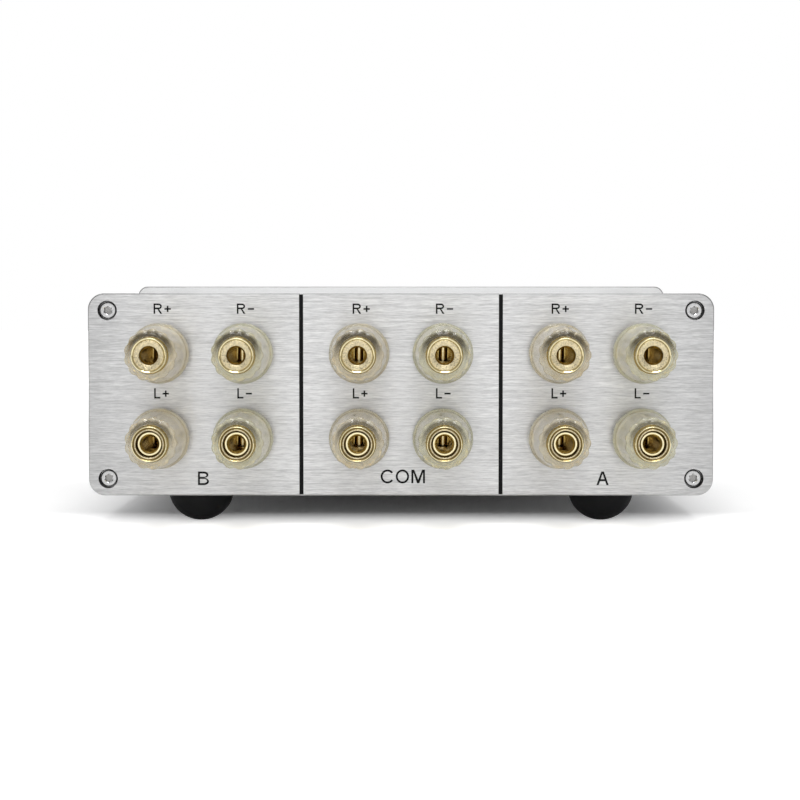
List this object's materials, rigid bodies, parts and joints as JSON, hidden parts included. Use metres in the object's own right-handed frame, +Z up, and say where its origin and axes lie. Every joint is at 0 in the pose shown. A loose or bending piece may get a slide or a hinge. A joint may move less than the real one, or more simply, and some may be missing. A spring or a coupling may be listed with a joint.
{
  "type": "speaker selector switch",
  "caption": "Speaker selector switch: an aluminium box with gold binding posts in clear caps on its rear plate and a turning dial on its front plate.",
  "frame": {"origin": "on the table, under the middle of the overall box: midway between the post ends and the dial, on the centre plane", "axes": "+X to the right for someone who faces the binding posts, +Y from the posts towards the dial, +Z up"},
  "size_m": [0.177, 0.1884, 0.066],
  "materials": {
    "brushed_plate": "horizontally brushed, clear anodised",
    "case_metal": "fine satin, clear anodised",
    "screw_steel": "satin nickel",
    "clear_plastic": "clear",
    "clear_plus": "clear with a faint warm tint",
    "clear_minus": "clear with a faint green tint",
    "black_plastic": "moulded",
    "gold": "gold plated, polished",
    "switch_steel": "nickel plated",
    "wafer_board": "phenolic board",
    "lug_silver": "silver plated",
    "knob_metal": "turned, clear anodised",
    "foot_rubber": "moulded, satin",
    "wire_sleeve": "insulated copper wire"
  },
  "bodies": {
    "case": {"rear_plate": "brushed_plate", "front_plate": "brushed_plate", "case_top": "case_metal", "case_bottom": "case_metal", "rear_screws": "screw_steel", "front_screws": "screw_steel", "base_insulators": "clear_plastic", "inner_insulators": "black_plastic", "solder_tags": "gold", "post_nuts": "gold", "switch_housing": "switch_steel", "bushing_nut": "switch_steel", "switch_ties": "switch_steel", "switch_wafers": "wafer_board", "switch_lugs": "lug_silver", "foot_rear_left": "foot_rubber", "foot_rear_right": "foot_rubber", "foot_front_left": "foot_rubber", "foot_front_right": "foot_rubber", "stud_b_r_plus": "gold", "stud_b_r_minus": "gold", "stud_b_l_plus": "gold", "stud_b_l_minus": "gold", "stud_com_r_plus": "gold", "stud_com_r_minus": "gold", "stud_com_l_plus": "gold", "stud_com_l_minus": "gold", "stud_a_r_plus": "gold", "stud_a_r_minus": "gold", "stud_a_l_plus": "gold", "stud_a_l_minus": "gold", "wires": "wire_sleeve"},
    "dial": {"dial_knob": "knob_metal", "grub_screw": "switch_steel", "switch_shaft": "switch_steel", "switch_rotors": "black_plastic"},
    "insert_b_r_plus": {"insert_b_r_plus": "gold"},
    "cap_b_r_plus": {"cap_b_r_plus": "clear_plus"},
    "insert_b_r_minus": {"insert_b_r_minus": "gold"},
    "cap_b_r_minus": {"cap_b_r_minus": "clear_minus"},
    "insert_b_l_plus": {"insert_b_l_plus": "gold"},
    "cap_b_l_plus": {"cap_b_l_plus": "clear_plus"},
    "insert_b_l_minus": {"insert_b_l_minus": "gold"},
    "cap_b_l_minus": {"cap_b_l_minus": "clear_minus"},
    "insert_com_r_plus": {"insert_com_r_plus": "gold"},
    "cap_com_r_plus": {"cap_com_r_plus": "clear_plus"},
    "insert_com_r_minus": {"insert_com_r_minus": "gold"},
    "cap_com_r_minus": {"cap_com_r_minus": "clear_minus"},
    "insert_com_l_plus": {"insert_com_l_plus": "gold"},
    "cap_com_l_plus": {"cap_com_l_plus": "clear_plus"},
    "insert_com_l_minus": {"insert_com_l_minus": "gold"},
    "cap_com_l_minus": {"cap_com_l_minus": "clear_minus"},
    "insert_a_r_plus": {"insert_a_r_plus": "gold"},
    "cap_a_r_plus": {"cap_a_r_plus": "clear_plus"},
    "insert_a_r_minus": {"insert_a_r_minus": "gold"},
    "cap_a_r_minus": {"cap_a_r_minus": "clear_minus"},
    "insert_a_l_plus": {"insert_a_l_plus": "gold"},
    "cap_a_l_plus": {"cap_a_l_plus": "clear_plus"},
    "insert_a_l_minus": {"insert_a_l_minus": "gold"},
    "cap_a_l_minus": {"cap_a_l_minus": "clear_minus"}
  },
  "joints": [
    {"name": "selector_turn", "type": "hinge", "parent": "case", "child": "dial", "pos_m": [0, 0.0754, 0.0355], "axis": [0, -1, 0], "range_deg": [0, 60]},
    {"name": "cap_travel_b_r_plus", "type": "slide", "parent": "case", "child": "insert_b_r_plus", "axis": [0, -1, 0], "range_m": [0, 0.005]},
    {"name": "cap_turn_b_r_plus", "type": "hinge", "parent": "insert_b_r_plus", "child": "cap_b_r_plus", "pos_m": [-0.0653, -0.0672, 0.0468], "axis": [0, -1, 0], "range_deg": [0, 1800]},
    {"name": "cap_travel_b_r_minus", "type": "slide", "parent": "case", "child": "insert_b_r_minus", "axis": [0, -1, 0], "range_m": [0, 0.005]},
    {"name": "cap_turn_b_r_minus", "type": "hinge", "parent": "insert_b_r_minus", "child": "cap_b_r_minus", "pos_m": [-0.0427, -0.0672, 0.0468], "axis": [0, -1, 0], "range_deg": [0, 1800]},
    {"name": "cap_travel_b_l_plus", "type": "slide", "parent": "case", "child": "insert_b_l_plus", "axis": [0, -1, 0], "range_m": [0, 0.005]},
    {"name": "cap_turn_b_l_plus", "type": "hinge", "parent": "insert_b_l_plus", "child": "cap_b_l_plus", "pos_m": [-0.0653, -0.0672, 0.0238], "axis": [0, -1, 0], "range_deg": [0, 1800]},
    {"name": "cap_travel_b_l_minus", "type": "slide", "parent": "case", "child": "insert_b_l_minus", "axis": [0, -1, 0], "range_m": [0, 0.005]},
    {"name": "cap_turn_b_l_minus", "type": "hinge", "parent": "insert_b_l_minus", "child": "cap_b_l_minus", "pos_m": [-0.0427, -0.0672, 0.0238], "axis": [0, -1, 0], "range_deg": [0, 1800]},
    {"name": "cap_travel_com_r_plus", "type": "slide", "parent": "case", "child": "insert_com_r_plus", "axis": [0, -1, 0], "range_m": [0, 0.005]},
    {"name": "cap_turn_com_r_plus", "type": "hinge", "parent": "insert_com_r_plus", "child": "cap_com_r_plus", "pos_m": [-0.0113, -0.0672, 0.0468], "axis": [0, -1, 0], "range_deg": [0, 1800]},
    {"name": "cap_travel_com_r_minus", "type": "slide", "parent": "case", "child": "insert_com_r_minus", "axis": [0, -1, 0], "range_m": [0, 0.005]},
    {"name": "cap_turn_com_r_minus", "type": "hinge", "parent": "insert_com_r_minus", "child": "cap_com_r_minus", "pos_m": [0.0113, -0.0672, 0.0468], "axis": [0, -1, 0], "range_deg": [0, 1800]},
    {"name": "cap_travel_com_l_plus", "type": "slide", "parent": "case", "child": "insert_com_l_plus", "axis": [0, -1, 0], "range_m": [0, 0.005]},
    {"name": "cap_turn_com_l_plus", "type": "hinge", "parent": "insert_com_l_plus", "child": "cap_com_l_plus", "pos_m": [-0.0113, -0.0672, 0.0238], "axis": [0, -1, 0], "range_deg": [0, 1800]},
    {"name": "cap_travel_com_l_minus", "type": "slide", "parent": "case", "child": "insert_com_l_minus", "axis": [0, -1, 0], "range_m": [0, 0.005]},
    {"name": "cap_turn_com_l_minus", "type": "hinge", "parent": "insert_com_l_minus", "child": "cap_com_l_minus", "pos_m": [0.0113, -0.0672, 0.0238], "axis": [0, -1, 0], "range_deg": [0, 1800]},
    {"name": "cap_travel_a_r_plus", "type": "slide", "parent": "case", "child": "insert_a_r_plus", "axis": [0, -1, 0], "range_m": [0, 0.005]},
    {"name": "cap_turn_a_r_plus", "type": "hinge", "parent": "insert_a_r_plus", "child": "cap_a_r_plus", "pos_m": [0.0427, -0.0672, 0.0468], "axis": [0, -1, 0], "range_deg": [0, 1800]},
    {"name": "cap_travel_a_r_minus", "type": "slide", "parent": "case", "child": "insert_a_r_minus", "axis": [0, -1, 0], "range_m": [0, 0.005]},
    {"name": "cap_turn_a_r_minus", "type": "hinge", "parent": "insert_a_r_minus", "child": "cap_a_r_minus", "pos_m": [0.0653, -0.0672, 0.0468], "axis": [0, -1, 0], "range_deg": [0, 1800]},
    {"name": "cap_travel_a_l_plus", "type": "slide", "parent": "case", "child": "insert_a_l_plus", "axis": [0, -1, 0], "range_m": [0, 0.005]},
    {"name": "cap_turn_a_l_plus", "type": "hinge", "parent": "insert_a_l_plus", "child": "cap_a_l_plus", "pos_m": [0.0427, -0.0672, 0.0238], "axis": [0, -1, 0], "range_deg": [0, 1800]},
    {"name": "cap_travel_a_l_minus", "type": "slide", "parent": "case", "child": "insert_a_l_minus", "axis": [0, -1, 0], "range_m": [0, 0.005]},
    {"name": "cap_turn_a_l_minus", "type": "hinge", "parent": "insert_a_l_minus", "child": "cap_a_l_minus", "pos_m": [0.0653, -0.0672, 0.0238], "axis": [0, -1, 0], "range_deg": [0, 1800]}
  ],
  "couplings": [
    {"joint": "cap_travel_b_r_plus", "follows": "cap_turn_b_r_plus", "m_per_rad": 0.00015915},
    {"joint": "cap_travel_b_r_minus", "follows": "cap_turn_b_r_minus", "m_per_rad": 0.00015915},
    {"joint": "cap_travel_b_l_plus", "follows": "cap_turn_b_l_plus", "m_per_rad": 0.00015915},
    {"joint": "cap_travel_b_l_minus", "follows": "cap_turn_b_l_minus", "m_per_rad": 0.00015915},
    {"joint": "cap_travel_com_r_plus", "follows": "cap_turn_com_r_plus", "m_per_rad": 0.00015915},
    {"joint": "cap_travel_com_r_minus", "follows": "cap_turn_com_r_minus", "m_per_rad": 0.00015915},
    {"joint": "cap_travel_com_l_plus", "follows": "cap_turn_com_l_plus", "m_per_rad": 0.00015915},
    {"joint": "cap_travel_com_l_minus", "follows": "cap_turn_com_l_minus", "m_per_rad": 0.00015915},
    {"joint": "cap_travel_a_r_plus", "follows": "cap_turn_a_r_plus", "m_per_rad": 0.00015915},
    {"joint": "cap_travel_a_r_minus", "follows": "cap_turn_a_r_minus", "m_per_rad": 0.00015915},
    {"joint": "cap_travel_a_l_plus", "follows": "cap_turn_a_l_plus", "m_per_rad": 0.00015915},
    {"joint": "cap_travel_a_l_minus", "follows": "cap_turn_a_l_minus", "m_per_rad": 0.00015915}
  ]
}
